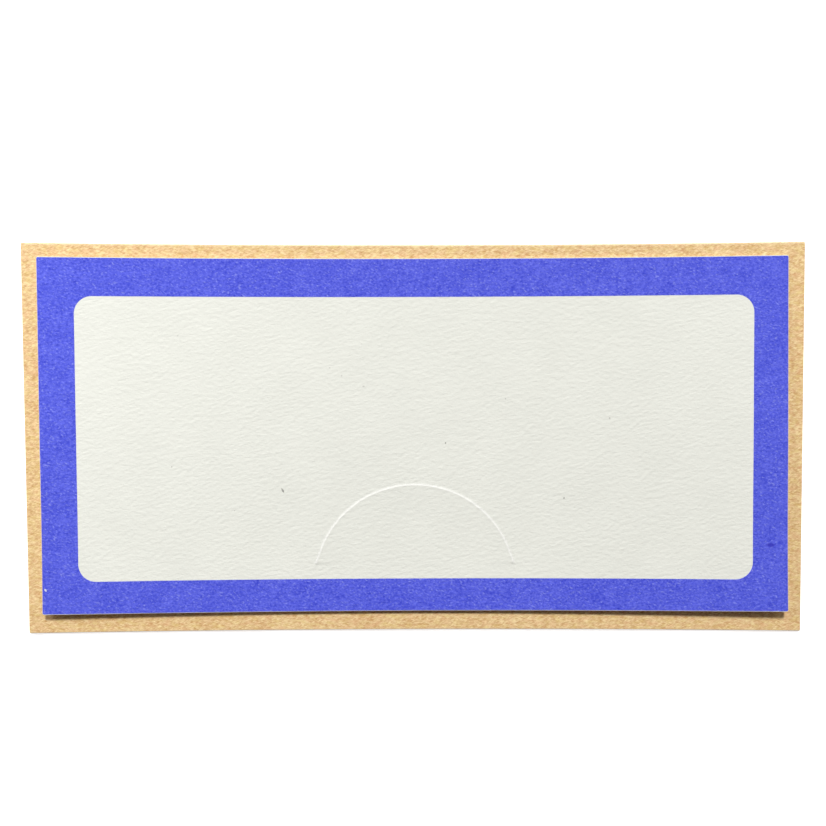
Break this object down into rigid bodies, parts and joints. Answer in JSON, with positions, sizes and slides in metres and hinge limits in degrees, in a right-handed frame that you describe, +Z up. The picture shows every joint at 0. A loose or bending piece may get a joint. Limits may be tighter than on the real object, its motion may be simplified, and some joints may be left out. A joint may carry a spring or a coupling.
{
  "type": "money envelope",
  "caption": "Flat kraft paper envelope with a gummed closure flap, under a bordered gift card whose half-moon tab holds a banknote.",
  "frame": {"origin": "under the middle of the closed envelope, on the surface that its closure flap lies on", "axes": "+X along the envelope's length, to the right in the picture; +Y across it, from the bottom fold to the closure flap's fold; +Z up out of the card's face"},
  "size_m": [0.22, 0.11, 0.0015],
  "materials": {
    "kraft_paper": "matte",
    "seam_glue": "satin",
    "dry_gum": "satin",
    "felt_marked_card": "matte",
    "printed_blue": "matte"
  },
  "bodies": {
    "envelope": {"front_panel": "kraft_paper", "top_fold": "kraft_paper", "bottom_fold": "kraft_paper", "left_fold": "kraft_paper", "right_fold": "kraft_paper", "left_seam_flap": "kraft_paper", "right_seam_flap": "kraft_paper", "back_panel": "kraft_paper", "left_seam_glue": "seam_glue", "right_seam_glue": "seam_glue"},
    "closure_flap": {"closure_flap": "kraft_paper", "gum_band": "dry_gum"},
    "card": {"card_leaf": "felt_marked_card", "printed_border": "printed_blue"},
    "money_tab": {"money_tab": "felt_marked_card"}
  },
  "joints": [
    {"name": "closure_flap_hinge", "type": "hinge", "parent": "envelope", "child": "closure_flap", "pos_m": [0, 0.0545, 0.0005], "axis": [1, 0, 0], "range_deg": [0, 180]},
    {"name": "card_lift", "type": "slide", "parent": "envelope", "child": "card", "axis": [0, 0, 1], "range_m": [0, 0.08]},
    {"name": "money_tab_hinge", "type": "hinge", "parent": "card", "child": "money_tab", "pos_m": [0, -0.0354, 0.0015], "axis": [1, 0, 0], "range_deg": [0, 60]}
  ]
}
